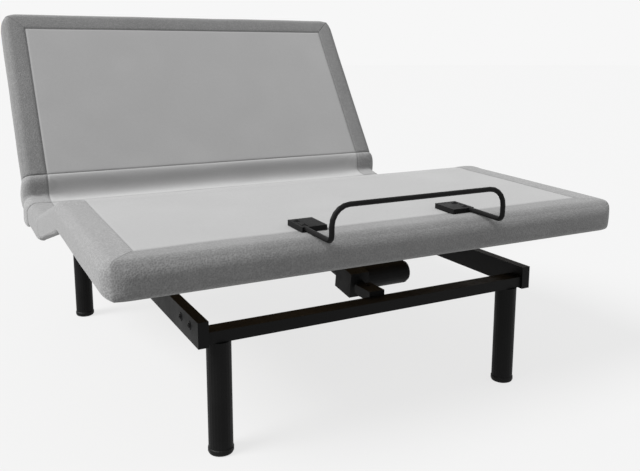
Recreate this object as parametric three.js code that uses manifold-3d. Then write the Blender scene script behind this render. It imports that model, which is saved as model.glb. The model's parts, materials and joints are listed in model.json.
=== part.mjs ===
// Adjustable bed base: a welded steel frame on four legs carries an upholstered deck in four
// sections (head, seat, thigh, foot) and the two linear actuators that raise them.
// Millimetres, +Z up, +Y towards the head end, +X to the right when seen from the foot end.
import * as THREE from 'three';
import * as BufferGeometryUtils from 'three/addons/utils/BufferGeometryUtils.js';
import Module from 'manifold-3d';

const wasm = await Module();
wasm.setup();

// ---- driving dimensions -------------------------------------------------------------------

const GAP = 0.3;                  // clearance between touching pieces
const FINE = 24;                  // facets around a large round
const COARSE = 16;                // facets around a small round

const DECK_WIDTH = 1359;
const DECK_DEPTH = 80;            // height of an upholstered section
const DECK_CORNER = 60;           // plan radius at the outer corners
const DECK_ROUND = 18;            // edge rounding of the upholstery
const FOAM = 20;                  // foam and cover above the board
const BOARD = 12;
const WALL = 22;                  // upholstered side wall of a section

const LEG_HEIGHT = 271;
const LEG_DIAMETER = 57;
const GLIDE_DIAMETER = 60;
const GLIDE_HEIGHT = 16;
const FOOT_LEG_X = 414.6;
const HEAD_LEG_X = 517;
const HEAD_LEG_Y = 1074.7;        // the foot-end legs stand at y = 0

const RAIL_INNER = 446;           // the rails' inner faces
const RAIL_WIDTH = 25;
const RAIL_BOTTOM = 267;
const RAIL_TOP = 327;
const RAIL_FRONT = -28;
const RAIL_REAR = 1130;
const TUBE_WALL = 2;
const CROSS_DEPTH = 45;           // cross tubes, along y
const CROSS_HEIGHT = 28;
const CENTRE_TUBE_Y = 575;
const HIP_TUBE_Y = 946;

const PIVOT_DROP = 46;            // section pivots below the deck's upper face
const SECTION_TUBE = 30;          // height of the steel tubes in a section
const FOOT_LENGTH = 592;
const THIGH_LENGTH = 430;
const HIP_Y = 880;
const SEAT_REAR = 1068;
const HEAD_PIVOT_Y = 1103.6;
const HEAD_START = 125;           // from the head pivot to the head section's lower end
const HEAD_LENGTH = 670;
const HIP_SETBACK = 15;           // from the hip pivot to each upholstered end
const KNEE_SETBACK = 3;
const KNEE_BEVEL = 22;            // degrees, on the side walls below the knee pivot

const THIGH_REST = 15.5;          // degrees above flat, as the part is stored
const KNEE_RATIO = 1.1;           // knee bend for each degree of thigh lift
const HEAD_REST = 55.7;

const LIFT_PIVOT = [440, 288];    // y, z of the foot lift tube
const LIFT_ARM = 310;
const ROLLER_RADIUS = 20;
const FOOT_LEVER = 64;
const FOOT_LEVER_ANGLE = 100;     // degrees from +Y; the rod draws in to raise the deck
const FOOT_CLEVIS = [84, 300];    // y, z of the foot actuator's rear pivot
const HEAD_CLEVIS = [CENTRE_TUBE_Y + 62, 239];
const HEAD_LEVER = 120;
const HEAD_LEVER_ANGLE = -105;    // degrees from +Y, with the head section flat
const ACTUATOR_X = 14;            // both actuators lie just right of the middle

const STAY_OFFSET = [-40, -35];   // lower stay pivot from the hip, and upper from the knee

const FOOT_TUBE_X = [366, 391];
const THIGH_TUBE_X = [393, 418];
const HEAD_TUBE_X = [409, 434];
const STAY_X = [424, 430];
const HINGE_PLATE_X = [437, 445.7];
const LIFT_ARM_X = [382, 390];

const DECK_BOTTOM = RAIL_TOP + GAP;
const DECK_TOP = DECK_BOTTOM + DECK_DEPTH;
const PIVOT_Z = DECK_TOP - PIVOT_DROP;
const SECTION_BOTTOM = PIVOT_DROP - DECK_DEPTH;   // the deck's underside, seen from a pivot
const BOARD_TOP = PIVOT_DROP - FOAM - GAP;
const BOARD_BOTTOM = BOARD_TOP - BOARD;
const TUBE_TOP = SECTION_BOTTOM + SECTION_TUBE;

// ---- materials ----------------------------------------------------------------------------

const material = (color, roughness, metalness) =>
  new THREE.MeshStandardMaterial({ color, roughness, metalness });
const borderFabric = material(0x77787a, 0.95, 0);
const boardWood = material(0xa98a62, 0.8, 0);
const blackSteel = material(0x141416, 0.5, 0.6);
const brightSteel = material(0xb8bcc2, 0.3, 0.9);
const blackPlastic = material(0x1b1b1d, 0.6, 0);

// ---- solids -------------------------------------------------------------------------------

const radians = THREE.MathUtils.degToRad;

function solid(geometry) {
  const bare = geometry.clone();
  bare.deleteAttribute('normal');
  bare.deleteAttribute('uv');
  const merged = BufferGeometryUtils.mergeVertices(bare, 1e-4);
  const triVerts = merged.index
    ? new Uint32Array(merged.index.array)
    : new Uint32Array(merged.attributes.position.count).map((_, i) => i);
  const vertProperties = new Float32Array(merged.attributes.position.array);
  return new wasm.Manifold(new wasm.Mesh({ numProp: 3, vertProperties, triVerts }));
}

function geometryOf(body) {
  const { vertProperties, triVerts } = body.getMesh();
  const geometry = new THREE.BufferGeometry();
  geometry.setAttribute('position', new THREE.BufferAttribute(vertProperties, 3));
  geometry.setIndex(new THREE.BufferAttribute(triVerts, 1));
  return geometry;
}

function piece(name, shape, look) {
  const geometry = shape.isBufferGeometry ? shape : geometryOf(shape);
  const mesh = new THREE.Mesh(geometry, look);
  mesh.name = name;
  return mesh;
}

const union = (...bodies) => bodies.reduce((sum, body) => sum.add(body));
const cut = (body, ...tools) => tools.reduce((rest, tool) => rest.subtract(tool), body);

// A block given by its lowest and highest corners.
function block([x0, y0, z0], [x1, y1, z1]) {
  const geometry = new THREE.BoxGeometry(x1 - x0, y1 - y0, z1 - z0);
  geometry.translate((x0 + x1) / 2, (y0 + y1) / 2, (z0 + z1) / 2);
  return solid(geometry);
}

// A rectangular tube along one axis (0 is x, 1 is y), open at both ends unless one is closed.
function tube(low, high, axis, closedLow = false) {
  const inside = (corner, sign) => corner.map((value, i) => value + sign * TUBE_WALL * (i !== axis));
  const innerLow = inside(low, 1);
  const innerHigh = inside(high, -1);
  innerLow[axis] += closedLow ? 2 * TUBE_WALL : -1;
  innerHigh[axis] += 1;
  return block(low, high).subtract(block(innerLow, innerHigh));
}

// A side view, drawn in y and z, given its width along x.
function sidePlate(shape, x0, x1) {
  const geometry = new THREE.ExtrudeGeometry(shape, {
    depth: x1 - x0, bevelEnabled: false, curveSegments: COARSE / 2,
  });
  geometry.applyMatrix4(new THREE.Matrix4().set(
    0, 0, 1, x0,
    1, 0, 0, 0,
    0, 1, 0, 0,
    0, 0, 0, 1,
  ));
  return solid(geometry);
}

function polygon(points) {
  return new THREE.Shape(points.map(([y, z]) => new THREE.Vector2(y, z)));
}

// A round bar along x.
function pin([y, z], radius, x0, x1, facets = COARSE) {
  const geometry = new THREE.CylinderGeometry(radius, radius, x1 - x0, facets);
  geometry.rotateZ(Math.PI / 2);
  geometry.translate((x0 + x1) / 2, y, z);
  return solid(geometry);
}

// A round bar along y.
function barrel([x, z], radius, y0, y1, facets = FINE) {
  const geometry = new THREE.CylinderGeometry(radius, radius, y1 - y0, facets);
  geometry.translate(0, (y0 + y1) / 2, 0);
  geometry.translate(x, 0, z);
  return solid(geometry);
}

// A flat bar with round ends, between two points of the side view.
function bar([ay, az], [by, bz], halfWidth, x0, x1) {
  const direction = Math.atan2(bz - az, by - ay);
  const shape = new THREE.Shape();
  shape.absarc(ay, az, halfWidth, direction + Math.PI / 2, direction + 1.5 * Math.PI, false);
  shape.absarc(by, bz, halfWidth, direction - Math.PI / 2, direction + Math.PI / 2, false);
  return sidePlate(shape, x0, x1);
}

// The same width on the other side of the middle.
const mirrored = ([x0, x1], side) => (side > 0 ? [x0, x1] : [-x1, -x0]);
const sides = [['left', -1], ['right', 1]];

const polar = ([y, z], length, angle) =>
  [y + length * Math.cos(angle), z + length * Math.sin(angle)];

// A side-view vector turned by an angle about x, +Y towards +Z.
const turned = ([y, z], angle) => [
  y * Math.cos(angle) - z * Math.sin(angle),
  y * Math.sin(angle) + z * Math.cos(angle),
];

const added = (a, b) => [a[0] + b[0], a[1] + b[1]];

// A group whose own origin is at a pivot of the side view, turned about x.
function pivotGroup([y, z], angle) {
  const group = new THREE.Group();
  group.position.set(0, y, z);
  group.rotation.x = angle;
  return group;
}

// ---- base frame ---------------------------------------------------------------------------

const HIP = [HIP_Y, PIVOT_Z];
const HEAD_PIVOT = [HEAD_PIVOT_Y, PIVOT_Z];
const RAIL_OUTER = RAIL_INNER + RAIL_WIDTH;

function rail(name, side) {
  const [x0, x1] = mirrored([RAIL_INNER, RAIL_OUTER], side);
  const body = tube([x0, RAIL_FRONT, RAIL_BOTTOM], [x1, RAIL_REAR, RAIL_TOP], 1, true);
  return piece(name, body, blackSteel);
}

function crossTube(name, centreY, bottom) {
  const half = RAIL_INNER - GAP;
  const low = [-half, centreY - CROSS_DEPTH / 2, bottom];
  const high = [half, centreY + CROSS_DEPTH / 2, bottom + CROSS_HEIGHT];
  return piece(name, tube(low, high, 0), blackSteel);
}

// The head-end legs stand outboard of the rails, each under a short tube welded to its rail.
function outrigger(name, side) {
  const [x0, x1] = mirrored([RAIL_OUTER + GAP, HEAD_LEG_X + LEG_DIAMETER / 2 + 4], side);
  const low = [x0, HEAD_LEG_Y - 32, LEG_HEIGHT + GAP];
  const high = [x1, HEAD_LEG_Y + 32, RAIL_TOP - 6];
  return piece(name, tube(low, high, 0), blackSteel);
}

function leg(name, x, y) {
  const inner = LEG_DIAMETER / 2 - TUBE_WALL;
  const points = [
    [inner, GLIDE_HEIGHT + GAP],
    [LEG_DIAMETER / 2, GLIDE_HEIGHT + GAP],
    [LEG_DIAMETER / 2, LEG_HEIGHT],
    [0, LEG_HEIGHT],
    [0, LEG_HEIGHT - 4],
    [inner, LEG_HEIGHT - 4],
    [inner, GLIDE_HEIGHT + GAP],
  ];
  return turnedPiece(name, points, x, y, blackSteel);
}

function glide(name, x, y) {
  const radius = GLIDE_DIAMETER / 2;
  const points = [
    [0, 0],
    [radius - 6, 0],
    [radius - 2, 2],
    [radius, 6],
    [radius, GLIDE_HEIGHT - 2],
    [radius - 1.5, GLIDE_HEIGHT],
    [0, GLIDE_HEIGHT],
  ];
  return turnedPiece(name, points, x, y, blackPlastic);
}

// A body of revolution standing on the floor.
function turnedPiece(name, points, x, y, look) {
  const outline = points.map(([radius, height]) => new THREE.Vector2(radius, height));
  const geometry = new THREE.LatheGeometry(outline, FINE);
  geometry.rotateX(Math.PI / 2);
  geometry.translate(x, y, 0);
  return piece(name, solid(geometry), look);
}

function baseFrame() {
  const group = new THREE.Group();
  group.add(crossTube('front_cross_tube', 0, LEG_HEIGHT + GAP));
  group.add(crossTube('hip_cross_tube', HIP_TUBE_Y, LEG_HEIGHT + GAP));
  group.add(crossTube('centre_cross_tube', CENTRE_TUBE_Y, RAIL_BOTTOM - GAP - CROSS_HEIGHT));
  for (const [word, side] of sides) {
    group.add(rail(`${word}_rail`, side));
    group.add(outrigger(`${word}_leg_outrigger`, side));
    group.add(leg(`${word}_foot_end_leg`, side * FOOT_LEG_X, 0));
    group.add(glide(`${word}_foot_end_glide`, side * FOOT_LEG_X, 0));
    group.add(leg(`${word}_head_end_leg`, side * HEAD_LEG_X, HEAD_LEG_Y));
    group.add(glide(`${word}_head_end_glide`, side * HEAD_LEG_X, HEAD_LEG_Y));
    group.add(hipBracket(`${word}_hip_bracket`, side));
    group.add(headBracket(`${word}_head_bracket`, side));
  }
  return group;
}

// A plate on the rail's inner face; it carries the hip pin and the stay's lower pin.
function hipBracket(name, side) {
  const stayPivot = added(HIP, STAY_OFFSET);
  const shape = polygon([
    [HIP_Y - 75, RAIL_BOTTOM + 12],
    [HIP_Y + 40, RAIL_BOTTOM + 12],
    [HIP_Y + 13, PIVOT_Z + 8],
    [HIP_Y + 6, PIVOT_Z + 13],
    [HIP_Y - 6, PIVOT_Z + 13],
    [HIP_Y - 60, RAIL_TOP + 4],
  ]);
  const [x0, x1] = mirrored(HINGE_PLATE_X, side);
  const plate = cut(sidePlate(shape, x0, x1), pin(HIP, 6.4, x0 - 1, x1 + 1));
  const [s0, s1] = mirrored([STAY_X[0] - 3, HINGE_PLATE_X[0] + 1], side);
  return piece(name, plate.add(pin(stayPivot, 6, s0, s1)), blackSteel);
}

function headBracket(name, side) {
  const shape = polygon([
    [HEAD_PIVOT_Y - 55, RAIL_BOTTOM + 12],
    [HEAD_PIVOT_Y + 22, RAIL_BOTTOM + 12],
    [HEAD_PIVOT_Y + 13, PIVOT_Z + 8],
    [HEAD_PIVOT_Y + 6, PIVOT_Z + 13],
    [HEAD_PIVOT_Y - 6, PIVOT_Z + 13],
    [HEAD_PIVOT_Y - 13, PIVOT_Z + 8],
  ]);
  const [x0, x1] = mirrored(HINGE_PLATE_X, side);
  const plate = cut(sidePlate(shape, x0, x1), pin(HEAD_PIVOT, 6.4, x0 - 1, x1 + 1));
  return piece(name, plate, blackSteel);
}

// ---- upholstered sections -----------------------------------------------------------------

// A rectangle in plan, from (x0, y0) to (x1, y1), with rounded corners at each end of y.
function planOutline(half, y0, y1, lowRadius, highRadius) {
  const shape = new THREE.Shape();
  shape.moveTo(-half + lowRadius, y0);
  shape.lineTo(half - lowRadius, y0);
  if (lowRadius) shape.absarc(half - lowRadius, y0 + lowRadius, lowRadius, -Math.PI / 2, 0, false);
  shape.lineTo(half, y1 - highRadius);
  if (highRadius) shape.absarc(half - highRadius, y1 - highRadius, highRadius, 0, Math.PI / 2, false);
  shape.lineTo(-half + highRadius, y1);
  if (highRadius) {
    shape.absarc(-half + highRadius, y1 - highRadius, highRadius, Math.PI / 2, Math.PI, false);
  }
  shape.lineTo(-half, y0 + lowRadius);
  if (lowRadius) shape.absarc(-half + lowRadius, y0 + lowRadius, lowRadius, Math.PI, 1.5 * Math.PI, false);
  return shape;
}

// A section's cover and foam: a shallow tray with round edges, open underneath. Heights are
// measured from the section's pivot. hollow gives the cavity's ends along y.
function tray(y0, y1, lowRadius, highRadius, hollow) {
  const half = DECK_WIDTH / 2 - DECK_ROUND;
  const inset = (radius) => Math.max(radius - DECK_ROUND, 0);
  const outline = planOutline(
    half, y0 + DECK_ROUND, y1 - DECK_ROUND, inset(lowRadius), inset(highRadius),
  );
  const geometry = new THREE.ExtrudeGeometry(outline, {
    depth: DECK_DEPTH - 2 * DECK_ROUND,
    bevelSize: DECK_ROUND,
    bevelThickness: DECK_ROUND,
    bevelSegments: 3,
    curveSegments: 4,
  });
  geometry.translate(0, 0, SECTION_BOTTOM + DECK_ROUND);
  const inner = DECK_WIDTH / 2 - WALL;
  const cavity = block(
    [-inner, hollow[0], SECTION_BOTTOM - 1],
    [inner, hollow[1], PIVOT_DROP - FOAM],
  );
  return solid(geometry).subtract(cavity);
}

function board(name, y0, y1) {
  const half = DECK_WIDTH / 2 - WALL - 1;
  return piece(name, block([-half, y0, BOARD_BOTTOM], [half, y1, BOARD_TOP]), boardWood);
}

// A steel tube along a section with a hinge eye at its pivot end.
function sectionTube(xs, side, eye, y0, y1) {
  const [x0, x1] = mirrored(xs, side);
  return tube([x0, y0, SECTION_BOTTOM], [x1, y1, TUBE_TOP], 1).add(eyeLug(eye, x0, x1));
}

// The rounded end of a tube around a pivot: 26 mm wide, down to the tube's lower face.
function eyeLug([y, z], x0, x1) {
  const shape = new THREE.Shape();
  shape.moveTo(y + 13, z);
  shape.absarc(y, z, 13, 0, Math.PI, false);
  shape.lineTo(y - 13, SECTION_BOTTOM + 6);
  shape.lineTo(y - 7, SECTION_BOTTOM);
  shape.lineTo(y + 7, SECTION_BOTTOM);
  shape.lineTo(y + 13, SECTION_BOTTOM + 6);
  return sidePlate(shape, x0, x1);
}

// Wedge below the knee pivot, so that the side walls can close when the knee bends.
function kneeWedge([y, z], direction) {
  const drop = DECK_DEPTH - PIVOT_DROP + 2;
  const run = drop * Math.tan(radians(KNEE_BEVEL));
  const setback = KNEE_SETBACK * direction;
  const shape = polygon([
    [y + setback, z],
    [y + setback + run * direction, z - drop],
    [y - 20 * direction, z - drop],
    [y - 20 * direction, z],
  ]);
  return sidePlate(shape, -DECK_WIDTH, DECK_WIDTH);
}

function seatSection() {
  const group = pivotGroup(HIP, 0);
  const y0 = HIP_SETBACK;
  const y1 = SEAT_REAR - HIP_Y;
  const tubeY = (y0 + y1) / 2;
  group.add(piece('seat_pad', tray(y0, y1, 0, 0, [-1, y1 + 1]), borderFabric));
  group.add(board('seat_board', y0 + 2, y1 - 2));
  const reach = DECK_WIDTH / 2 - WALL - 12;
  const low = [-reach, tubeY - 20, SECTION_BOTTOM];
  const high = [reach, tubeY + 20, BOARD_BOTTOM - GAP];
  group.add(piece('seat_cross_tube', tube(low, high, 0), blackSteel));
  return group;
}

function thighTube(name, side) {
  const member = sectionTube(THIGH_TUBE_X, side, [0, 0], -THIGH_LENGTH, 0);
  const knee = [-THIGH_LENGTH, 0];
  const [x0, x1] = mirrored(THIGH_TUBE_X, side);
  const lug = eyeLug(knee, x0, x1);
  const [p0, p1] = mirrored([THIGH_TUBE_X[1] - 2, HINGE_PLATE_X[1] - 1], side);
  const [k0, k1] = mirrored([FOOT_TUBE_X[0] - 2, THIGH_TUBE_X[0] + 2], side);
  const body = union(member, lug, pin([0, 0], 6, p0, p1), pin(knee, 6, k0, k1));
  const drain = pin([-THIGH_LENGTH / 2, (SECTION_BOTTOM + TUBE_TOP) / 2], 4, x0 - 1, x0 + 4);
  return piece(name, cut(body, drain), blackSteel);
}

function thighSection() {
  const group = pivotGroup(HIP, -radians(THIGH_REST));
  const y0 = -THIGH_LENGTH + KNEE_SETBACK;
  const cover = tray(y0, -HIP_SETBACK, 0, 0, [y0 - 1, 0]);
  const knee = [-THIGH_LENGTH, 0];
  group.add(piece('thigh_pad', cut(cover, kneeWedge(knee, 1)), borderFabric));
  group.add(board('thigh_board', y0 + 2, -HIP_SETBACK - 2));
  for (const [word, side] of sides) group.add(thighTube(`${word}_thigh_tube`, side));
  group.add(footSection(knee));
  return group;
}

// ---- foot section, with the mattress retainers --------------------------------------------

const FOOT_CROSS_Y = -500;        // from the knee
const RETAINER_X = 228;
const RETAINER_ROD = 6;
const RETAINER_RISE = 77;
const RETAINER_BEND = 42;
const RETAINER_REACH = -646;      // from the knee
const RETAINER_ROOT = -488;
const RETAINER_PLATE = [62, 76, 13];

function footTube(name, side) {
  const member = sectionTube(FOOT_TUBE_X, side, [0, 0], FOOT_CROSS_Y + 21, 0);
  const [x0, x1] = mirrored(FOOT_TUBE_X, side);
  const lug = bar([STAY_OFFSET[0], SECTION_BOTTOM + 4], STAY_OFFSET, 13, x0, x1);
  const [s0, s1] = mirrored([FOOT_TUBE_X[1] - 2, STAY_X[1] + 2], side);
  const body = union(member, lug, pin(STAY_OFFSET, 6, s0, s1));
  return piece(name, cut(body, pin([0, 0], 6.4, x0 - 1, x1 + 1)), blackSteel);
}

// A round section bent through four corners, from the left bracket over to the right one.
function retainerBar() {
  const z0 = PIVOT_DROP + RETAINER_ROD + 2.5;
  const z1 = z0 + RETAINER_RISE;
  const corners = [
    [-RETAINER_X, RETAINER_ROOT, z0, 0],
    [-RETAINER_X, RETAINER_REACH, z0, 14],
    [-RETAINER_X, RETAINER_REACH, z1, RETAINER_BEND],
    [RETAINER_X, RETAINER_REACH, z1, RETAINER_BEND],
    [RETAINER_X, RETAINER_REACH, z0, 14],
    [RETAINER_X, RETAINER_ROOT, z0, 0],
  ].map(([x, y, z, bend]) => ({ at: new THREE.Vector3(x, y, z), bend }));
  const points = [corners[0].at];
  for (let i = 1; i < corners.length - 1; i += 1) {
    points.push(...bendPoints(corners[i - 1].at, corners[i], corners[i + 1].at));
  }
  points.push(corners[corners.length - 1].at);
  return sweptRod(points, RETAINER_ROD, 10);
}

// Points of the arc that rounds one corner of a bent rod.
function bendPoints(before, { at, bend }, after) {
  const inward = before.clone().sub(at).normalize();
  const outward = after.clone().sub(at).normalize();
  const centre = at.clone().addScaledVector(inward, bend).addScaledVector(outward, bend);
  const steps = 5;
  return Array.from({ length: steps + 1 }, (_, i) => {
    const angle = (Math.PI / 2) * (i / steps);
    return centre.clone()
      .addScaledVector(outward, -bend * Math.cos(angle))
      .addScaledVector(inward, -bend * Math.sin(angle));
  });
}

// A closed rod along straight steps, its rings turned to bisect each bend.
function sweptRod(points, radius, facets) {
  const positions = [];
  const index = [];
  let side = new THREE.Vector3(1, 0, 0);
  points.forEach((point, i) => {
    const before = points[Math.max(i - 1, 0)];
    const after = points[Math.min(i + 1, points.length - 1)];
    const along = after.clone().sub(before).normalize();
    side = side.clone().addScaledVector(along, -side.dot(along)).normalize();
    const up = along.clone().cross(side);
    for (let k = 0; k < facets; k += 1) {
      const angle = (2 * Math.PI * k) / facets;
      const spot = point.clone()
        .addScaledVector(side, radius * Math.cos(angle))
        .addScaledVector(up, radius * Math.sin(angle));
      positions.push(spot.x, spot.y, spot.z);
    }
  });
  for (let i = 0; i < points.length - 1; i += 1) {
    for (let k = 0; k < facets; k += 1) {
      const a = i * facets + k;
      const b = i * facets + ((k + 1) % facets);
      index.push(a, b, b + facets, a, b + facets, a + facets);
    }
  }
  const last = (points.length - 1) * facets;
  for (let k = 1; k < facets - 1; k += 1) {
    index.push(0, k + 1, k);
    index.push(last, last + k, last + k + 1);
  }
  const geometry = new THREE.BufferGeometry();
  geometry.setAttribute('position', new THREE.Float32BufferAttribute(positions, 3));
  geometry.setIndex(index);
  return geometry;
}

// A plate on top of the foot section, clamping one end of the retainer bar.
function retainerBracket(name, side) {
  const [width, length, height] = RETAINER_PLATE;
  const outer = RETAINER_X + RETAINER_ROD + 4;
  const [x0, x1] = mirrored([outer - width, outer], side);
  const y0 = RETAINER_ROOT - 42;
  const z0 = PIVOT_DROP + GAP;
  const plate = block([x0, y0, z0], [x1, y0 + length, z0 + height]);
  const rodZ = PIVOT_DROP + RETAINER_ROD + 2.5;
  const groove = barrel([side * RETAINER_X, rodZ], RETAINER_ROD + GAP, y0 - 1, RETAINER_ROOT + GAP);
  return piece(name, cut(plate, groove), blackPlastic);
}

// A small bracket on the right side, near the foot end, that keeps the mattress from sliding.
function sideRetainer() {
  const x0 = DECK_WIDTH / 2 + GAP;
  const y0 = -FOOT_LENGTH + 42;
  const base = block([x0, y0, -22], [x0 + 5, y0 + 44, 30]);
  const lip = block([x0 + 4, y0 + 6, -14], [x0 + 20, y0 + 38, 22]);
  return piece('side_retainer', base.add(lip), blackPlastic);
}

function footSection(knee) {
  const group = pivotGroup(knee, radians(THIGH_REST * KNEE_RATIO));
  const wall = -FOOT_LENGTH + WALL;
  const cover = tray(-FOOT_LENGTH, -KNEE_SETBACK, DECK_CORNER, 0, [wall, 0]);
  group.add(piece('foot_pad', cut(cover, kneeWedge([0, 0], -1)), borderFabric));
  group.add(board('foot_board', wall + 2, -KNEE_SETBACK - 2));
  const reach = DECK_WIDTH / 2 - WALL - 12;
  const low = [-reach, FOOT_CROSS_Y - 20, SECTION_BOTTOM];
  const high = [reach, FOOT_CROSS_Y + 20, BOARD_BOTTOM - GAP];
  group.add(piece('foot_cross_tube', tube(low, high, 0), blackSteel));
  for (const [word, side] of sides) {
    group.add(footTube(`${word}_foot_tube`, side));
    group.add(retainerBracket(`${word}_retainer_bracket`, side));
  }
  group.add(piece('retainer_bar', retainerBar(), blackSteel));
  group.add(sideRetainer());
  return group;
}

// ---- head section -------------------------------------------------------------------------

const HEAD_END = HEAD_START + HEAD_LENGTH;
const HEAD_LOWER_CROSS = HEAD_START + 60;
const HEAD_UPPER_CROSS = HEAD_END - 110;

function headTube(name, side) {
  const member = sectionTube(HEAD_TUBE_X, side, [0, 0], 0, HEAD_END - WALL - 6);
  const [p0, p1] = mirrored([HEAD_TUBE_X[1] - 2, HINGE_PLATE_X[1] - 1], side);
  return piece(name, member.add(pin([0, 0], 6, p0, p1)), blackSteel);
}

function headCrossTube(name, centreY) {
  const reach = HEAD_TUBE_X[0] - GAP;
  const low = [-reach, centreY - 20, SECTION_BOTTOM];
  return piece(name, tube(low, [reach, centreY + 20, TUBE_TOP], 0), blackSteel);
}

// Two plates under the lower cross tube; the head actuator's rod end works between them.
function headLever() {
  const eye = polar([0, 0], HEAD_LEVER, radians(HEAD_LEVER_ANGLE));
  const root = [HEAD_LOWER_CROSS, SECTION_BOTTOM - GAP];
  const shape = polygon([
    [root[0] - 20, root[1]],
    [root[0] + 20, root[1]],
    [root[0] + 20, root[1] - 22],
    added(eye, [14, -10]),
    added(eye, [2, -16]),
    added(eye, [-12, -10]),
    added(eye, [-14, 6]),
  ]);
  return leverPlates(shape, eye).add(
    block([ACTUATOR_X - 18, root[0] - 20, root[1] - 14], [ACTUATOR_X + 18, root[0] + 20, root[1]]),
  );
}

// A pair of plates either side of a rod end, with a stub of the eye bolt in each.
function leverPlates(shape, eye) {
  const inner = 8;
  const outer = 14;
  const right = sidePlate(shape, ACTUATOR_X + inner, ACTUATOR_X + outer);
  const left = sidePlate(shape, ACTUATOR_X - outer, ACTUATOR_X - inner);
  const rightBolt = pin(eye, 9, ACTUATOR_X + outer - 1, ACTUATOR_X + outer + 7, 6);
  const leftBolt = pin(eye, 9, ACTUATOR_X - outer - 7, ACTUATOR_X - outer + 1, 6);
  return union(right, left, rightBolt, leftBolt);
}

function headSection() {
  const group = pivotGroup(HEAD_PIVOT, radians(HEAD_REST));
  const cover = tray(HEAD_START, HEAD_END, 0, DECK_CORNER, [HEAD_START - 1, HEAD_END - WALL]);
  group.add(piece('head_pad', cover, borderFabric));
  group.add(board('head_board', HEAD_START + 2, HEAD_END - WALL - 2));
  group.add(headCrossTube('head_lower_cross_tube', HEAD_LOWER_CROSS));
  group.add(headCrossTube('head_upper_cross_tube', HEAD_UPPER_CROSS));
  for (const [word, side] of sides) group.add(headTube(`${word}_head_tube`, side));
  group.add(piece('head_lever', headLever(), blackSteel));
  return group;
}

// The slack band of cover fabric between the seat and the raised head section.
function lumbarFabric() {
  const thickness = 8;
  const angle = radians(HEAD_REST);
  const start = [SEAT_REAR + GAP, DECK_TOP - DECK_ROUND];
  const low = added(HEAD_PIVOT, turned([HEAD_START - 1, PIVOT_DROP - DECK_ROUND - 1], angle));
  const middle = [(start[0] + low[0]) / 2 - 2, (start[1] + low[1]) / 2 + 2];
  const across = [-Math.sin(angle) * thickness, Math.cos(angle) * thickness];
  const shape = polygon([
    start,
    middle,
    low,
    added(low, across),
    added(middle, across),
    [start[0] + 2, start[1] + thickness + 4],
  ]);
  const half = DECK_WIDTH / 2 - 6;
  return piece('lumbar_fabric', sidePlate(shape, -half, half), borderFabric);
}

// ---- foot lift ----------------------------------------------------------------------------

// The roller's centre, in the base frame, when it touches the raised thigh tubes from below.
function rollerCentre() {
  const lift = -radians(THIGH_REST);
  const depth = SECTION_BOTTOM - ROLLER_RADIUS - GAP;
  const along = turned([-1, 0], lift);
  const start = added(HIP, turned([0, depth], lift));
  const offset = [start[0] - LIFT_PIVOT[0], start[1] - LIFT_PIVOT[1]];
  const b = offset[0] * along[0] + offset[1] * along[1];
  const c = offset[0] ** 2 + offset[1] ** 2 - LIFT_ARM ** 2;
  const reach = -b - Math.sqrt(b * b - c);
  return added(start, [along[0] * reach, along[1] * reach]);
}

function footLift() {
  const group = new THREE.Group();
  const roller = rollerCentre();
  const end = RAIL_INNER - GAP;
  const eye = polar(LIFT_PIVOT, FOOT_LEVER, radians(FOOT_LEVER_ANGLE));
  const leverShape = polygon([
    added(LIFT_PIVOT, [-16, 0]),
    added(LIFT_PIVOT, [16, 0]),
    added(eye, [13, 4]),
    added(eye, [5, 12]),
    added(eye, [-7, 12]),
    added(eye, [-13, -2]),
  ]);
  const shaft = pin(LIFT_PIVOT, 19, -end, end, FINE);
  const bore = pin(LIFT_PIVOT, 19 - TUBE_WALL, -end - 1, end + 1, FINE);
  const lever = cut(leverPlates(leverShape, eye), bore);
  group.add(piece('foot_lift_tube', cut(shaft, bore).add(lever), blackSteel));
  for (const [word, side] of sides) {
    const [x0, x1] = mirrored(LIFT_ARM_X, side);
    const hole = pin(LIFT_PIVOT, 19 + GAP, x0 - 1, x1 + 1, FINE);
    const plate = cut(sidePlate(armOutline(roller), x0, x1), hole);
    const [s0, s1] = mirrored([LIFT_ARM_X[1] - 2, THIGH_TUBE_X[1] - 1], side);
    group.add(piece(`${word}_lift_arm`, plate.add(pin(roller, 6, s0, s1)), blackSteel));
    const [r0, r1] = mirrored([THIGH_TUBE_X[0] - 1, THIGH_TUBE_X[1] - 2], side);
    const wheel = cut(pin(roller, ROLLER_RADIUS, r0, r1, FINE), pin(roller, 6.2, r0 - 1, r1 + 1));
    group.add(piece(`${word}_lift_roller`, wheel, blackPlastic));
  }
  return group;
}

// An arm that tapers from the lift tube to its roller.
function armOutline(roller) {
  const [y, z] = LIFT_PIVOT;
  const direction = Math.atan2(roller[1] - z, roller[0] - y);
  const shape = new THREE.Shape();
  shape.absarc(y, z, 30, direction + Math.PI / 2, direction + 1.5 * Math.PI, false);
  shape.absarc(roller[0], roller[1], 14, direction - Math.PI / 2, direction + Math.PI / 2, false);
  return shape;
}

// A flat bar from the hip bracket to the foot section; it keeps the foot section level.
function stay(name, side) {
  const lower = added(HIP, STAY_OFFSET);
  const lift = -radians(THIGH_REST);
  const bend = radians(THIGH_REST * (KNEE_RATIO - 1));
  const knee = added(HIP, turned([-THIGH_LENGTH, 0], lift));
  const upper = added(knee, turned(STAY_OFFSET, bend));
  const [x0, x1] = mirrored(STAY_X, side);
  const body = bar(lower, upper, 14, x0, x1);
  const holes = [pin(lower, 6.4, x0 - 1, x1 + 1), pin(upper, 9.5, x0 - 1, x1 + 1)];
  return piece(name, cut(body, ...holes), blackSteel);
}

// ---- actuators ----------------------------------------------------------------------------

const ACTUATOR_BODY = 250;        // from the rear pivot to the outer tube's mouth
const GEARBOX = [26, 104];        // the gearbox's ends, from the rear pivot
const ROD_START = 198;            // leaves the rod 110 mm to draw in before the bore's end

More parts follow.
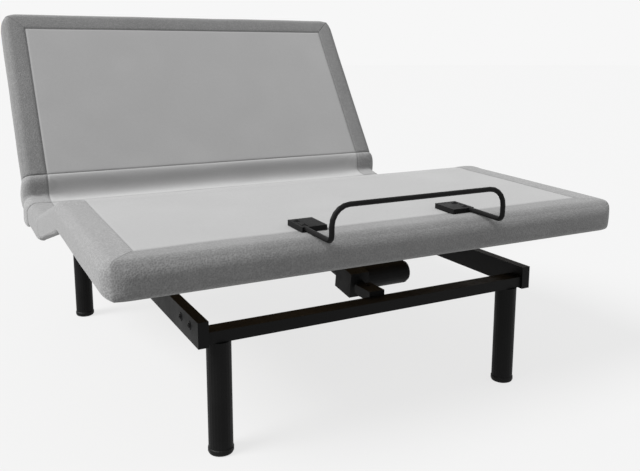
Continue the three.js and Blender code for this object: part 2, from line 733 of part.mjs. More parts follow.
// One linear actuator between its rear clevis and a lever's eye, pointing along its own +Y.
function actuator(word, rear, eye) {
  const direction = Math.atan2(eye[1] - rear[1], eye[0] - rear[0]);
  const length = Math.hypot(eye[0] - rear[0], eye[1] - rear[1]);
  const group = pivotGroup(rear, direction);
  group.add(piece(`${word}_actuator_housing`, actuatorHousing(), blackPlastic));
  group.add(piece(`${word}_motor`, motor(), blackPlastic));
  group.add(piece(`${word}_actuator_rod`, actuatorRod(length), brightSteel));
  return group;
}

// Gearbox, rear lug and outer tube in one moulding, bored for the rod.
function actuatorHousing() {
  const gearbox = block(
    [ACTUATOR_X - 27, GEARBOX[0], -34],
    [ACTUATOR_X + 27, GEARBOX[1], 32],
  );
  const lug = bar([0, 0], [GEARBOX[0] + 4, 0], 11, ACTUATOR_X - 7, ACTUATOR_X + 7);
  const tube = barrel([ACTUATOR_X, 0], 21, GEARBOX[1] - 1, ACTUATOR_BODY);
  const body = union(gearbox, lug, tube);
  const bore = barrel([ACTUATOR_X, 0], 12.5, GEARBOX[1] - 20, ACTUATOR_BODY + 1, COARSE);
  return cut(body, bore, pin([0, 0], 5.4, ACTUATOR_X - 9, ACTUATOR_X + 9));
}

// The motor lies across the bed, against the gearbox's right side.
function motor() {
  const x0 = ACTUATOR_X + 27 + GAP;
  const centre = [(GEARBOX[0] + GEARBOX[1]) / 2, -1];
  return union(pin(centre, 31.5, x0, x0 + 132, FINE), pin(centre, 27, x0 + 131, x0 + 140, FINE));
}

function actuatorRod(length) {
  const flat = 48;
  const rod = barrel([ACTUATOR_X, 0], 10, ROD_START, length - flat, COARSE);
  const end = bar([length - flat - 6, 0], [length, 0], 12, ACTUATOR_X - 7, ACTUATOR_X + 7);
  return rod.add(end);
}

// A clevis welded to a cross tube's rear face: two cheeks, a web and the rear pivot pin.
function clevis(name, [y, z], tubeY) {
  const front = tubeY + CROSS_DEPTH / 2 + GAP;
  const shape = polygon([
    [front, z - 14],
    [y - 4, z - 14],
    [y + 12, z - 8],
    [y + 12, z + 8],
    [y + 8, z + 12],
    [front, z + 12],
  ]);
  const right = sidePlate(shape, ACTUATOR_X + 8, ACTUATOR_X + 22);
  const left = sidePlate(shape, ACTUATOR_X - 22, ACTUATOR_X - 8);
  const web = block([ACTUATOR_X - 9, front, z - 14], [ACTUATOR_X + 9, y - 18, z + 12]);
  const rearPin = pin([y, z], 5, ACTUATOR_X - 9, ACTUATOR_X + 9);
  return piece(name, union(right, left, web, rearPin), blackSteel);
}

// ---- electrics ----------------------------------------------------------------------------

const CONTROL_BOX = { x: [-250, -60], y: [760, 850], z: [275, 318] };

function controlBox() {
  const group = new THREE.Group();
  const { x, y, z } = CONTROL_BOX;
  group.add(piece('control_box', block([x[0], y[0], z[0]], [x[1], y[1], z[1]]), blackPlastic));
  const socketX = x[0] - GAP;
  const shell = block([socketX - 14, y[0] + 30, z[0] + 9], [socketX, y[0] + 60, z[0] + 33]);
  const mouth = block([socketX - 15, y[0] + 33, z[0] + 12], [socketX - 4, y[0] + 57, z[0] + 30]);
  group.add(piece('power_inlet', cut(shell, mouth), blackPlastic));
  return group;
}

// ---- assembly -----------------------------------------------------------------------------

function assembly() {
  const group = new THREE.Group();
  group.add(baseFrame(), seatSection(), thighSection(), headSection(), lumbarFabric());
  group.add(footLift(), controlBox());
  for (const [word, side] of sides) group.add(stay(`${word}_foot_stay`, side));
  const footEye = polar(LIFT_PIVOT, FOOT_LEVER, radians(FOOT_LEVER_ANGLE));
  const headEye = polar(HEAD_PIVOT, HEAD_LEVER, radians(HEAD_LEVER_ANGLE + HEAD_REST));
  group.add(actuator('foot', FOOT_CLEVIS, footEye));
  group.add(actuator('head', HEAD_CLEVIS, headEye));
  group.add(clevis('foot_actuator_clevis', FOOT_CLEVIS, 0));
  group.add(clevis('head_actuator_clevis', HEAD_CLEVIS, CENTRE_TUBE_Y));
  return group;
}

// The origin is on the floor, under the middle of the part as it is stored.
const bed = assembly();
bed.updateMatrixWorld(true);
const middle = new THREE.Box3().setFromObject(bed, true).getCenter(new THREE.Vector3());
bed.position.set(-middle.x, -middle.y, 0);

export default bed;
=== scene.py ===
"""An adjustable bed base: its upholstery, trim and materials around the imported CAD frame."""
import json
import math

import bmesh
import bpy
import numpy as np
from mathutils import Matrix, Vector, noise


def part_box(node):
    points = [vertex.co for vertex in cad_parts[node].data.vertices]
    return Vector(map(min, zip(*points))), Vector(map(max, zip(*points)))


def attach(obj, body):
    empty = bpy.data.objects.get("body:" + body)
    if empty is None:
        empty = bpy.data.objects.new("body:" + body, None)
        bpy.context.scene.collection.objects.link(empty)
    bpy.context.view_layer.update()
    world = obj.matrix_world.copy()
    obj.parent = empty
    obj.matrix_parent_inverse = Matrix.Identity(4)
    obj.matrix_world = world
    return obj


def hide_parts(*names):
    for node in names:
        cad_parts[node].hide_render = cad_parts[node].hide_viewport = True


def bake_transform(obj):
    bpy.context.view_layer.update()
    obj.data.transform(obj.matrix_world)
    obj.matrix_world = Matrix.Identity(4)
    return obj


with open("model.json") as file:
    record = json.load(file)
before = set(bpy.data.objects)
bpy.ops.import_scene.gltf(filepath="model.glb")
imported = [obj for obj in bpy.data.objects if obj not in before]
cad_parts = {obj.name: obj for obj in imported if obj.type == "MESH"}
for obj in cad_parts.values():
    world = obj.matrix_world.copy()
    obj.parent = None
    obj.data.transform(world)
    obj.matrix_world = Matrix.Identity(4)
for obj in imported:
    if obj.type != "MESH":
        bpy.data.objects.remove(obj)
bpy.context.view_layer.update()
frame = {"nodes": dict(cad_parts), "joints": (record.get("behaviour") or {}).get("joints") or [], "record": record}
scene = bpy.context.scene

# ---- places, from the frame ----------------------------------------------------------------

joints = {j["name"]: j for j in frame["joints"]}
HIP = Vector(joints["thigh_lift"]["pos_m"])
KNEE = Vector(joints["knee_bend"]["pos_m"])
HEAD = Vector(joints["head_lift"]["pos_m"])
MIDDLE_X = HIP.x
HALF = MIDDLE_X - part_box("foot_pad")[0][0] + 0.002  # half of the covers' width
THIGH = math.atan2(HIP.z - KNEE.z, HIP.y - KNEE.y)  # each section's slope towards the head
FOOT = math.radians(1.55)
RAISED = math.radians(55.7)
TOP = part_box("seat_pad")[1][2] - HIP.z              # the deck's faces, from a pivot
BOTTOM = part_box("seat_pad")[0][2] - HIP.z
THIGH_LENGTH = math.hypot(HIP.z - KNEE.z, HIP.y - KNEE.y)
FOOT_END = -0.592
HEAD_END = 0.795
HEAD_START = 0.127
SEAT_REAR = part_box("seat_pad")[1][1] - HIP.y
THIGH_SEAM = -0.062                                 # from the hip

CEILING = TOP - 0.018                               # the cover's inner face, over the boards
WALL = 0.021                                        # thickness of a cover's sides
EDGE = 0.026                                        # radius along the top edge, sides and head
NOSE = 0.034                                        # and at the foot
FOLD = 0.020                                        # radius along the lower edge
CORNER = 0.054                                      # radius of the corners, from above
BORDER = 0.076                                      # the border's width at the sides
FOOT_BORDER = 0.084
HEAD_BORDER = 0.074

KNEE_BEND = 0.055                                   # how far each side of the knee bends
HIP_BEND_START = -0.05
HIP_BEND_END = 0.045
CUT_GAP = 0.0004                                    # between a cover's cut end and the next

SEAM_WIDTH = 0.0026
SEAM_DEPTH = 0.0018
UNEVEN = 0.0011                                     # slow unevenness of the fabric
SWELL = 0.0022                                      # the border's foam, between its seams
PILLOW = 0.009                                      # the lumbar band's pillows at the sides

FAR = 9                                             # metres, for an edge that isn't there
NO_MITRE = 1.0
CLOSE = 0.00001
TINY = 0.000001


# ---- shared helpers -------------------------------------------------------------------------

def added(name, data):
    """A new object in the scene."""
    made = bpy.data.objects.new(name, data)
    scene.collection.objects.link(made)
    return made


def shade_smooth(mesh, degrees):
    """Smooth faces; edges that turn more than this stay sharp."""
    for face in mesh.polygons:
        face.use_smooth = True
    mesh.set_sharp_from_angle(angle=math.radians(degrees))


# ---- covers ---------------------------------------------------------------------------------

def smooth(t):
    t = min(max(t, 0), 1)
    return t * t * (3 - 2 * t)


def span(a, b, step):
    """From a to b in even steps no longer than step, without b."""
    n = max(1, math.ceil((b - a) / step - TINY))
    return [a + (b - a) * i / n for i in range(n)]


SEAM_STEPS = [-0.009, -0.0045, -0.002, 0, 0.002, 0.0045, 0.009]
EDGE_STEPS = [0, 0.002, 0.005, 0.009, 0.013, 0.017, WALL, EDGE, 0.030, NOSE]


def edge_insets(border):
    """Distances in from a rounded edge, past its border's seam."""
    rest = span(NOSE, border - 0.009, 0.009)[1:]
    return EDGE_STEPS + rest + [border + s for s in SEAM_STEPS]


def cut_insets():
    """Distances in from a cut end."""
    return [0, 0.0012, 0.003, 0.006, 0.012]


def columns():
    """Positions across a cover, closer together at the edges and seams."""
    side = edge_insets(BORDER)
    inner = span(-(HALF - side[-1]), HALF - side[-1], 0.026)[1:]
    left = [-HALF + d for d in side]
    return left + inner + [-x for x in reversed(left)]


def rows(y0, y1, low, high, fine):
    """Row positions along a cover. low and high are its ends' border widths, or None for a cut
    end; fine lists (from, to) stretches that bend."""
    start = [y0 + d for d in (edge_insets(low) if low else cut_insets())]
    end = [y1 - d for d in (edge_insets(high) if high else cut_insets())]
    marks = [start[-1]] + [m for f in fine for m in f] + [end[-1]]
    middle = []
    for a, b in zip(marks, marks[1:]):
        if b - a > TINY:
            bending = any(f[0] - TINY <= a and b <= f[1] + TINY for f in fine)
            middle += span(a, b, 0.0075 if bending else 0.026)
    return sorted(set(round(y, 6) for y in start + middle + end))


def rolled(d, radius):
    """Inset from the edge, and drop, for a point that lies d in on the flat face."""
    if d >= radius:
        return d, 0
    turn = math.pi / 4 * (1 - d / radius)
    return radius * (1 - math.sin(turn)), radius * (1 - math.cos(turn))


class Cover:
    """One upholstered piece, laid flat: x from the middle, y from its pivot, z from the pivot's
    height. It is a closed shell: padded top, sides, and a hollow underneath for the boards."""

    def __init__(
        self, name, y0, y1, low=None, high=None, fine=(), half_seams=(), tone=1.0, painted_shade=-1.0,
    ):
        self.name = name
        self.y0, self.y1, self.low, self.high = y0, y1, low, high
        self.tone, self.painted_shade = tone, painted_shade
        self.half_seams = list(half_seams)
        self.xs = columns()
        self.ys = rows(y0, y1, low, high, fine)
        self.points = {}
        self.flat = []
        self.faces = []

    def to_ends(self, y):
        """Distances in from the low and high ends; a cut end counts as far away."""
        return (y - self.y0) if self.low else FAR, (self.y1 - y) if self.high else FAR

    def bottom(self, x, y):
        """The underside's height: the hem around the edge, the ceiling within it."""
        return BOTTOM if min(HALF - abs(x), *self.to_ends(y)) < WALL else CEILING

    def point(self, x, y, z):
        """The index of a point of the sharp block."""
        key = (round(x, 5), round(y, 5), round(z, 5))
        if key not in self.points:
            self.points[key] = len(self.flat)
            self.flat.append(key)
        return self.points[key]

    def levels(self, low):
        """Heights up a wall from low, closer together at its rounded edges."""
        full = [
            BOTTOM, BOTTOM + 0.003, BOTTOM + 0.006, BOTTOM + 0.010, BOTTOM + 0.015, BOTTOM + FOLD,
        ]
        full += span(BOTTOM + FOLD, TOP - NOSE, 0.009)[1:]
        full += [TOP - d for d in reversed(EDGE_STEPS)]
        return [low] + [z for z in full if z > low + TINY]

    def wall(self, x0, y0, x1, y1, low):
        zs = self.levels(low)
        for a, b in zip(zs, zs[1:]):
            corners = ((x0, y0, a), (x1, y1, a), (x1, y1, b), (x0, y0, b))
            self.faces.append([self.point(*c) for c in corners])

    def lay(self):
        """The faces of the sharp block: top, underside, sides and inner walls."""
        xs, ys = self.xs, self.ys
        for i in range(len(xs) - 1):
            for j in range(len(ys) - 1):
                x0, x1, y0, y1 = xs[i], xs[i + 1], ys[j], ys[j + 1]
                here = self.bottom((x0 + x1) / 2, (y0 + y1) / 2)
                square = ((x0, y0), (x1, y0), (x1, y1), (x0, y1))
                self.faces.append([self.point(*c, TOP) for c in square])
                self.faces.append([self.point(*c, here) for c in reversed(square)])
                around = (
                    (x0, y0, x1, y0, 0, -1), (x1, y0, x1, y1, 1, 0),
                    (x1, y1, x0, y1, 0, 1), (x0, y1, x0, y0, -1, 0),
                )
                for ax, ay, bx, by, di, dj in around:
                    ni, nj = i + di, j + dj
                    if not (0 <= ni < len(xs) - 1 and 0 <= nj < len(ys) - 1):
                        self.wall(ax, ay, bx, by, here)
                        continue
                    there = self.bottom((xs[ni] + xs[ni + 1]) / 2, (ys[nj] + ys[nj + 1]) / 2)
                    if here < there - TINY:
                        corners = ((ax, ay, here), (bx, by, here), (bx, by, there), (ax, ay, there))
                        self.faces.append([self.point(*c) for c in corners])

    def seam_nearness(self, x, y, z):
        """How near a point on the outside is to a seam: 1 on the seam, falling to 0."""
        near = []
        if z > TOP - 0.002:
            past_low = not self.low or y > self.y0 + self.low - CLOSE
            past_high = not self.high or y < self.y1 - self.high + CLOSE
            if past_low and past_high:
                near.append(abs(HALF - abs(x) - BORDER))
            if abs(x) < HALF - BORDER + CLOSE:
                if self.low:
                    near.append(abs(y - self.y0 - self.low))
                if self.high:
                    near.append(abs(self.y1 - self.high - y))
        if abs(x) > HALF - BORDER - CLOSE:
            near += [abs(y - s) for s in self.half_seams]
        if not self.low:
            near.append(y - self.y0)
        if not self.high:
            near.append(self.y1 - y)
        return math.exp(-((min(near) / SEAM_WIDTH) ** 2)) if near else 0

    def shaped(self, x, y, z):
        """The rounded place of a point on the sharp block."""
        low, high = self.to_ends(y)
        depths = (HALF - abs(x), low, high)
        inner = min(depths) > WALL - TINY and z < TOP - TINY
        if inner or abs(z - CEILING) < TINY:
            return x, y, z
        upper = z > (TOP + BOTTOM) / 2
        radii = (EDGE, NOSE, EDGE) if upper else (FOLD, FOLD, FOLD)
        height = TOP - z if upper else z - BOTTOM
        weights = [max(0, 1 - d / r) ** 2 for d, r in zip(depths, radii)]
        if not sum(weights):
            return x, y, z
        radius = sum(w * r for w, r in zip(weights, radii)) / sum(weights)
        if height < TINY:
            nearest = min(d / r for d, r in zip(depths, radii))
            drop = rolled(nearest * radius, radius)[1]
            insets = [rolled(d, r)[0] for d, r in zip(depths, radii)]
        else:
            drop, sink = rolled(height, radius)
            insets = [sink if d < TINY else rolled(d, r)[0] for d, r in zip(depths, radii)]
        new_x = math.copysign(HALF - insets[0], x)
        new_y = y
        if self.low and low < CORNER:
            new_y = self.y0 + insets[1]
        if self.high and high < CORNER:
            new_y = self.y1 - insets[2]
        return (*self.cornered(new_x, new_y), TOP - drop if upper else BOTTOM + drop)

    def cornered(self, x, y):
        """The plan's corners, from square to round."""
        a = (abs(x) - (HALF - CORNER)) / CORNER
        b = 0
        if self.low:
            b = max(b, (self.y0 + CORNER - y) / CORNER)
        if self.high:
            b = max(b, (y - self.y1 + CORNER) / CORNER)
        if a <= 0 or b <= 0:
            return x, y
        new_a, new_b = a * math.sqrt(1 - b * b / 2), b * math.sqrt(1 - a * a / 2)
        x = math.copysign(HALF - CORNER + CORNER * new_a, x)
        if self.low and y < (self.y0 + self.y1) / 2:
            return x, self.y0 + CORNER - CORNER * new_b
        return x, self.y1 - CORNER + CORNER * new_b

    def build(self, pad):
        """The mesh, still flat. pad(x, y, z) gives an outward swell in metres."""
        self.lay()
        mesh = bpy.data.meshes.new(self.name)
        mesh.from_pydata([self.shaped(*p) for p in self.flat], [], self.faces)
        mesh.validate()
        bm = bmesh.new()
        bm.from_mesh(mesh)
        bmesh.ops.recalc_face_normals(bm, faces=bm.faces)
        bm.to_mesh(mesh)
        bm.free()
        mesh.update()
        seam, panel, mitre, painted_shade, place = [], [], [], [], []
        for v, (x, y, z) in zip(mesh.vertices, self.flat):
            near = 0
            p = v.co.copy()
            if z > TOP - TINY or self.on_side(x, y):
                near = self.seam_nearness(x, y, z)
                uneven = noise.noise(Vector((x * 7, y * 7, z * 9 + 3))) * UNEVEN
                p += v.normal * (pad(x, y, z) + uneven - SEAM_DEPTH * near)
            place.append(p)
            seam.append(near)
            panel.append(1.0 if self.in_panel(x, y, z) else 0.0)
            mitre.append(self.mitre(x, y, z))
            # Painted shade mask: positive on the foot end's side of the mitre, so its border and nose are
            # darkened; a cover without a bordered low end takes one value, 1 darkening the head's whole border, -1
            # none.
            side = (HALF - abs(x)) / BORDER
            painted_shade.append(side - (y - self.y0) / self.low if self.low else self.painted_shade)
        for v, p in zip(mesh.vertices, place):
            v.co = p
        # A per-piece brightness gain, painted light.
        tone = [self.tone] * len(place)
        named = (
            ("seam", seam), ("panel", panel), ("mitre", mitre), ("painted_shade", painted_shade), ("tone", tone),
        )
        for name, values in named:
            mesh.attributes.new(name, "FLOAT", "POINT").data.foreach_set("value", values)
        flat = np.array([tuple(p) for p in place]).ravel()
        mesh.attributes.new("lay", "FLOAT_VECTOR", "POINT").data.foreach_set("vector", flat)
        shade_smooth(mesh, 50)
        return added(self.name, mesh)

    def on_side(self, x, y):
        on_end = (self.low and y - self.y0 < CLOSE) or (self.high and self.y1 - y < CLOSE)
        return abs(x) > HALF - CLOSE or bool(on_end)

    def in_panel(self, x, y, z):
        """Whether a point is on the paler middle panel."""
        if z < TOP - TINY or abs(x) > HALF - BORDER - CLOSE:
            return False
        if self.low and y < self.y0 + self.low + CLOSE:
            return False
        return not (self.high and y > self.y1 - self.high - CLOSE)

    def mitre(self, x, y, z):
        """Signed distance from the diagonal seam at a corner, far away elsewhere."""
        side = HALF - abs(x)
        if z < TOP - TINY:
            return NO_MITRE
        if self.low and y < self.y0 + self.low + 0.001 and side < BORDER + 0.001:
            return (side * self.low - (y - self.y0) * BORDER) / math.hypot(self.low, BORDER)
        if self.high and y > self.y1 - self.high - 0.001 and side < BORDER + 0.001:
            return (side * self.high - (self.y1 - y) * BORDER) / math.hypot(self.high, BORDER)
        return NO_MITRE


def bent(piece, pivot, slope_low, slope_high, start, end):
    """Stands a flat cover in place: slope_low below start, slope_high beyond end."""
    for v in piece.data.vertices:
        x, y, z = v.co
        w = smooth((y - start) / (end - start)) if end > start else 0
        angle = slope_low + (slope_high - slope_low) * w
        v.co = (
            MIDDLE_X + x,
            pivot.y + y * math.cos(angle) - z * math.sin(angle),
            pivot.z + y * math.sin(angle) + z * math.cos(angle),
        )
    piece.data.update()
    return piece


def edge_swell(cover, amount):
    """Foam that stands a little proud between the seams of the border."""
    def pad(x, y, z):
        if z > TOP - TINY:
            side = min(HALF - abs(x), *cover.to_ends(y))
            band = min(max(side / BORDER, 0), 1)
            return amount * math.sin(math.pi * band) if band < 1 else 0
        t = (z - BOTTOM) / (TOP - BOTTOM)
        return amount * 0.8 * math.sin(math.pi * min(max(t, 0), 1))
    return pad


def make_covers():
    """The four covers, from the foot to the head."""
    made = []

    leg_rest = Cover(
        "foot_and_thigh_cover", FOOT_END, THIGH_LENGTH + THIGH_SEAM, low=FOOT_BORDER,
        fine=[(-KNEE_BEND, KNEE_BEND)], half_seams=[0.0],
    )
    piece = leg_rest.build(edge_swell(leg_rest, SWELL))
    bent(piece, KNEE, FOOT, THIGH, -KNEE_BEND, KNEE_BEND)
    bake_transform(piece)
    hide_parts("foot_pad", "thigh_pad")
    made.append(piece)

    seat = Cover(
        "seat_cover", THIGH_SEAM + CUT_GAP, SEAT_REAR - CUT_GAP,
        fine=[(HIP_BEND_START, HIP_BEND_END)],
    )
    piece = seat.build(edge_swell(seat, SWELL))
    bent(piece, HIP, THIGH, 0, HIP_BEND_START, HIP_BEND_END)
    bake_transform(piece)
    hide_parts("seat_pad")
    made.append(piece)

    start, end = SEAT_REAR + HIP.y - HEAD.y, HEAD_START
    middle = (start + end) / 2
    # The lumbar band's colour is lifted 22% as painted light, offsetting the shade of its concave bend.
    lumbar = Cover(
        "lumbar_cover", start + CUT_GAP, end - CUT_GAP,
        fine=[(start + 0.012, end - 0.012)], half_seams=[middle], tone=1.22,
    )

    def pillows(x, y, z):
        """Two puffed folds at each side, and a slight rise across the middle."""
        first = (y - start) / (middle - start)
        second = (y - middle) / (end - middle)
        t = first if y < middle else second
        puff = math.sin(math.pi * min(max(t, 0), 1)) ** 0.7
        side = max(0, HALF - abs(x))
        band = math.exp(-((max(0, side - BORDER * 0.6) / 0.05) ** 2))
        whole = math.sin(math.pi * min(max((y - start) / (end - start), 0), 1)) ** 0.6
        return whole * 0.003 * (1 - band) + puff * PILLOW * band

    piece = lumbar.build(pillows)
    bent(piece, HEAD, 0, RAISED, start, end)
    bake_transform(piece)
    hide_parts("lumbar_fabric")
    made.append(piece)

    # Painted shade over the head's whole border.
    head = Cover("head_cover", HEAD_START, HEAD_END, high=HEAD_BORDER, painted_shade=1.0)
    piece = head.build(edge_swell(head, SWELL))
    bent(piece, HEAD, RAISED, RAISED, 0, 0)
    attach(piece, "head")
    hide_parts("head_pad")
    made.append(piece)
    return made


# ---- fasteners ------------------------------------------------------------------------------

def lathe_rings(bm, profile, sides, hexagons):
    """Rings of (radius, height), closed at both ends. A ring whose index is in hexagons has six
    sides."""
    rings = []
    for index, (radius, height) in enumerate(profile):
        ring = []
        for k in range(sides):
            turn = 2 * math.pi * k / sides
            r = radius
            if index in hexagons:
                r = radius * math.cos(math.pi / 6) / math.cos((turn % (math.pi / 3)) - math.pi / 6)
            ring.append(bm.verts.new((r * math.cos(turn), r * math.sin(turn), height)))
        rings.append(ring)
    for a, b in zip(rings, rings[1:]):
        for k in range(sides):
            n = (k + 1) % sides
            bm.faces.new((a[k], a[n], b[n], b[k]))
    bm.faces.new(list(reversed(rings[0])))
    bm.faces.new(rings[-1])


def button_head(name, place, axis, body, radius=0.0065, height=0.0036):
    """A domed screw head with a hexagon socket, on a thin washer."""
    h, r = height, radius
    profile = [
        (r * 1.55, -0.0004), (r * 1.62, 0.0002), (r * 1.58, 0.0011), (r * 1.02, 0.0012),
        (r, 0.0016), (r * 0.97, h * 0.55), (r * 0.85, h * 0.82), (r * 0.62, h),
        (r * 0.50, h), (r * 0.47, h * 0.94), (r * 0.45, h * 0.35),
    ]
    bm = bmesh.new()
    lathe_rings(bm, profile, 24, hexagons=(8, 9, 10))
    mesh = bpy.data.meshes.new(name)
    bmesh.ops.recalc_face_normals(bm, faces=bm.faces)
    bm.to_mesh(mesh)
    bm.free()
    shade_smooth(mesh, 38)
    piece = added(name, mesh)
    turn = Vector(axis).to_track_quat("Z", "Y").to_matrix().to_4x4()
    piece.matrix_world = Matrix.Translation(place) @ turn
    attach(piece, body)
    return piece


SCREW_SPREAD = 0.0325          # of a rail's pair, from its middle
SCREW_RISE = 0.006             # above the rail's middle
FRONT_SCREWS = 0.0905          # the front pair's middle, from the rail's end
BRACKET_SCREW_X = 0.014        # in from the retainer bracket's edges
BRACKET_SCREW_Y = 0.018


def make_fasteners():
    """Screws that hold the rails to the cross tubes and the retainer brackets to the deck."""
    made = []
    for word, end, out in (("left", 0, -1), ("right", 1, 1)):
        low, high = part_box(f"{word}_rail")
        face = (low, high)[end][0]
        for tube in ("front_cross_tube", "centre_cross_tube", "hip_cross_tube"):
            a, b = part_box(tube)
            at = (a[1] + b[1]) / 2
            middle = max(at, low[1] + FRONT_SCREWS) if tube == "front_cross_tube" else at
            for k, y in enumerate((middle - SCREW_SPREAD, middle + SCREW_SPREAD)):
                place = (face, y, (low[2] + high[2]) / 2 + SCREW_RISE)
                name = f"{word}_{tube}_screw_{k + 1}"
                made.append(button_head(name, place, (out, 0, 0), "base"))
        low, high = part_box(f"{word}_retainer_bracket")
        tilt = Vector((0, -math.sin(FOOT), math.cos(FOOT)))
        x = low[0] + BRACKET_SCREW_X if out < 0 else high[0] - BRACKET_SCREW_X
        for k, y in enumerate((low[1] + BRACKET_SCREW_Y, high[1] - BRACKET_SCREW_Y)):
            place = (x, y, high[2] - (high[1] - y) * math.tan(FOOT))
            name = f"{word}_bracket_screw_{k + 1}"
            made.append(button_head(name, place, tilt, "foot", 0.0052, 0.003))
    return made


# ---- materials -------------------------------------------------------------------------------

class Shader:
    """A procedural material under construction."""

    def __init__(self, name):
        self.material = bpy.data.materials.new(name)
        self.material.use_nodes = True
        self.tree = self.material.node_tree
        self.bsdf = self.tree.nodes["Principled BSDF"]

    def node(self, kind, **inputs):
        node = self.tree.nodes.new(kind)
        for key, value in inputs.items():
            self.feed(node.inputs[key.replace("_", " ")], value)
        return node

    def feed(self, socket, value):
        if isinstance(value, bpy.types.NodeSocket):
            self.tree.links.new(value, socket)
        else:
            socket.default_value = value

    def math(self, operation, a, b):
        node = self.tree.nodes.new("ShaderNodeMath")
        node.operation = operation
        self.feed(node.inputs[0], a)
        self.feed(node.inputs[1], b)
        return node.outputs[0]

    def attribute(self, name, output="Fac"):
        node = self.tree.nodes.new("ShaderNodeAttribute")
        node.attribute_name = name
        return node.outputs[output]

    def mix(self, factor, a, b):
        node = self.tree.nodes.new("ShaderNodeMix")
        node.data_type = "RGBA"
        for index, value in ((0, factor), (6, a), (7, b)):
            self.feed(node.inputs[index], value)
        return node.outputs[2]

    def ramp(self, factor, low, high, a=0.0, b=1.0):
        node = self.tree.nodes.new("ShaderNodeMapRange")
        node.clamp = True
        for index, value in ((0, factor), (1, low), (2, high), (3, a), (4, b)):
            self.feed(node.inputs[index], value)
        return node.outputs[0]

    def noise(self, vector, scale, detail, roughness):
        return self.node("ShaderNodeTexNoise", Vector=vector, Scale=scale, Detail=detail,
                         Roughness=roughness).outputs["Fac"]

    def cells(self, vector, scale, randomness=1.0):
        return self.node("ShaderNodeTexVoronoi", Vector=vector, Scale=scale,
                         Randomness=randomness).outputs["Distance"]

    def stretched(self, vector, scale):
        return self.node("ShaderNodeMapping", Vector=vector, Scale=scale).outputs[0]

    def finish(self, color, roughness, height, distance, strength, **other):
        self.feed(self.bsdf.inputs["Base Color"], color)
        self.feed(self.bsdf.inputs["Roughness"], roughness)
        for key, value in other.items():
            self.feed(self.bsdf.inputs[key.replace("_", " ")], value)
        bump = self.node("ShaderNodeBump", Height=height, Distance=distance, Strength=strength)
        self.feed(self.bsdf.inputs["Normal"], bump.outputs[0])
        return self.material


def grey(value, warm=0.0):
    """A linear colour, warmer than neutral by a fraction."""
    return (value * (1 + warm), value, value * (1 - warm), 1)


def upholstery():
    """Knitted mesh on the border, and a finer, paler weave on the middle panel."""
    s = Shader("knitted_fabric")
    lay = s.attribute("lay", "Vector")
    panel = s.ramp(s.attribute("panel"), 0.3, 0.7)
    seam = s.attribute("seam")
    line = s.ramp(s.math("ABSOLUTE", s.attribute("mitre"), 0.0), 0.0006, 0.0030, 1.0, 0.0)
    stitch = s.math("MAXIMUM", seam, line)
    knit = s.cells(lay, 250.0, 0.9)
    weave = s.cells(s.stretched(lay, (1.0, 1.6, 1.0)), 480.0, 0.3)
    mottle = s.noise(lay, 95.0, 5.0, 0.7)
    broad = s.noise(lay, 6.0, 3.0, 0.5)
    border = s.mix(s.ramp(knit, 0.15, 0.75), grey(0.088), grey(0.154))
    border = s.mix(s.ramp(mottle, 0.35, 0.65, 0.0, 0.45), border, grey(0.098))
    # Painted shade: the foot end's border and nose and the raised head's border, which face away from the sun, are
    # darkened up to 30% towards near black.
    border = s.mix(s.ramp(s.attribute("painted_shade"), -0.01, 0.01, 0.0, 0.30), border, grey(0.012))
    middle = s.mix(s.ramp(weave, 0.1, 0.8), grey(0.172), grey(0.208))
    color = s.mix(panel, border, middle)
    color = s.mix(s.ramp(broad, 0.35, 0.7, 0.0, 0.16), color, grey(0.16, 0.005))
    color = s.mix(s.math("MULTIPLY", stitch, 0.34), color, grey(0.045))
    # Painted light: each cover's colour value is scaled by its per-piece gain, 1.22 on the lumbar band to lift the
    # shade of its bend.
    color = s.node("ShaderNodeHueSaturation", Value=s.attribute("tone"), Color=color).outputs[0]
    coarse = s.math("MULTIPLY", knit, s.math("SUBTRACT", 1.0, panel))
    height = s.math("ADD", coarse, s.math("MULTIPLY", weave, 0.25))
    height = s.math("SUBTRACT", height, s.math("MULTIPLY", line, 1.5))
    roughness = s.ramp(mottle, 0.3, 0.7, 0.82, 0.96)
    return s.finish(color, roughness, height, 0.0012, 0.7, Sheen_Weight=0.18, Sheen_Roughness=0.5)


def coordinates(s):
    return s.node("ShaderNodeTexCoord").outputs["Object"]


def powder_coat():
    s = Shader("black_powder_coat")
    where = coordinates(s)
    dust = s.noise(where, 9.0, 6.0, 0.65)
    peel = s.noise(where, 520.0, 2.0, 0.5)
    color = s.mix(s.ramp(dust, 0.45, 0.75, 0.0, 0.5), grey(0.0020), grey(0.0060))
    return s.finish(color, s.ramp(dust, 0.3, 0.7, 0.42, 0.6), peel, 0.0003, 0.5,
                    Specular_IOR_Level=0.10)


def moulded_plastic():
    s = Shader("black_moulded_plastic")
    where = coordinates(s)
    grain = s.cells(where, 900.0)
    worn = s.noise(where, 14.0, 5.0, 0.6)
    color = s.mix(s.ramp(worn, 0.4, 0.75, 0.0, 0.5), grey(0.0024), grey(0.0070))
    return s.finish(color, s.ramp(worn, 0.3, 0.7, 0.45, 0.65), grain, 0.0004, 0.5,
                    Specular_IOR_Level=0.12)


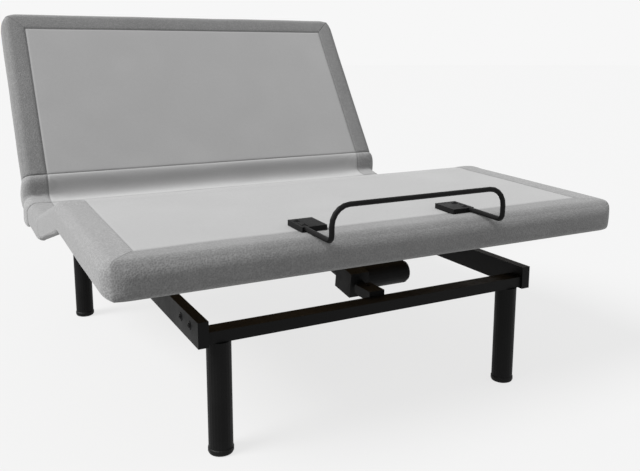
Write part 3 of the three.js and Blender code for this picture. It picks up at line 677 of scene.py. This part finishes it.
def strand_board():
    s = Shader("strand_board")
    where = coordinates(s)
    chips = s.stretched(where, (26.0, 70.0, 40.0))
    flakes = s.node("ShaderNodeTexVoronoi", Vector=chips, Scale=1.0)
    shade = s.node("ShaderNodeSeparateColor", Color=flakes.outputs["Color"]).outputs[0]
    fibre = s.noise(s.stretched(where, (60.0, 900.0, 300.0)), 1.0, 3.0, 0.6)
    color = s.mix(shade, (0.30, 0.19, 0.095, 1), (0.50, 0.36, 0.20, 1))
    color = s.mix(s.ramp(fibre, 0.4, 0.7, 0.0, 0.5), color, (0.22, 0.13, 0.06, 1))
    height = s.math("ADD", shade, s.math("MULTIPLY", fibre, 0.4))
    return s.finish(color, s.ramp(fibre, 0.3, 0.7, 0.6, 0.85), height, 0.0006, 0.6)


def drawn_steel():
    s = Shader("drawn_steel")
    where = coordinates(s)
    lines = s.noise(s.stretched(where, (1400.0, 25.0, 1400.0)), 1.0, 4.0, 0.6)
    grease = s.noise(where, 30.0, 4.0, 0.6)
    color = s.mix(s.ramp(grease, 0.45, 0.7, 0.0, 0.6), grey(0.55), grey(0.34, 0.02))
    return s.finish(color, s.ramp(lines, 0.3, 0.7, 0.2, 0.36), lines, 0.0001, 0.4, Metallic=1.0)


def soften(node):
    """A small bevel and smooth shading on one CAD node's edges."""
    shade_smooth(node.data, 32)
    bevel = node.modifiers.new("edges", "BEVEL")
    bevel.width = 0.0009
    bevel.segments = 2
    bevel.limit_method = "ANGLE"
    bevel.angle_limit = math.radians(40)
    bevel.harden_normals = False


def dress(covers, fasteners):
    """Gives every CAD node, cover and screw the material of its slot."""
    finishes = {
        "painted_steel": powder_coat(),
        "black_plastic": moulded_plastic(),
        "board_wood": strand_board(),
        "bright_steel": drawn_steel(),
        "border_fabric": upholstery(),
    }
    for subpart in frame["record"]["subparts"]:
        node = frame["nodes"][subpart["node"]]
        node.data.materials.clear()
        node.data.materials.append(finishes[subpart["material_slot"]])
        if subpart["material_slot"] != "border_fabric":
            soften(node)
    for piece in covers:
        piece.data.materials.append(finishes["border_fabric"])
    for piece in fasteners:
        piece.data.materials.append(finishes["painted_steel"])


# ---- camera, light and floor ----------------------------------------------------------------

CAMERA_FROM_HIP = Vector((-0.9505, -2.3836, 0.5419))
CAMERA_DOWN = 0.1799           # radians below level
CAMERA_ROLL = -0.0014
CAMERA_TURN = -0.4821
SUN_DIRECTION = Vector((0.72, 0.0, -0.66))
FLOOR_REACH = 40


def make_camera():
    data = bpy.data.cameras.new("camera")
    data.sensor_width = 36
    data.lens = 42.12
    data.shift_x = 0.0020
    data.shift_y = -0.0756
    data.clip_end = 50
    camera = added("camera", data)
    camera.location = HIP + CAMERA_FROM_HIP
    camera.rotation_euler = (math.pi / 2 - CAMERA_DOWN, CAMERA_ROLL, CAMERA_TURN)
    scene.camera = camera


def make_studio():
    """An even white room, one broad sun from the left, and a floor that takes its shadow."""
    world = bpy.data.worlds.new("studio")
    world.use_nodes = True
    background = world.node_tree.nodes["Background"]
    background.inputs["Color"].default_value = (1, 1, 1, 1)
    background.inputs["Strength"].default_value = 0.93
    scene.world = world
    data = bpy.data.lights.new("key", "SUN")
    data.energy = 6.5
    data.angle = math.radians(28)
    key = added("key", data)
    key.rotation_euler = SUN_DIRECTION.to_track_quat("-Z", "Y").to_euler()
    mesh = bpy.data.meshes.new("floor")
    signs = ((-1, -1), (1, -1), (1, 1), (-1, 1))
    corners = [(a * FLOOR_REACH, b * FLOOR_REACH, 0) for a, b in signs]
    mesh.from_pydata(corners, [], [(0, 1, 2, 3)])
    floor = added("floor", mesh)
    pale = bpy.data.materials.new("floor_paint")
    pale.use_nodes = True
    shader = pale.node_tree.nodes["Principled BSDF"]
    shader.inputs["Base Color"].default_value = (0.07, 0.07, 0.07, 1)
    shader.inputs["Roughness"].default_value = 0.9
    shader.inputs["Specular IOR Level"].default_value = 0.0
    shader.inputs["Emission Color"].default_value = (1, 1, 1, 1)
    shader.inputs["Emission Strength"].default_value = 0.755
    mesh.materials.append(pale)
    scene.view_settings.view_transform = "Standard"


covers = make_covers()
dress(covers, make_fasteners())
make_camera()
make_studio()
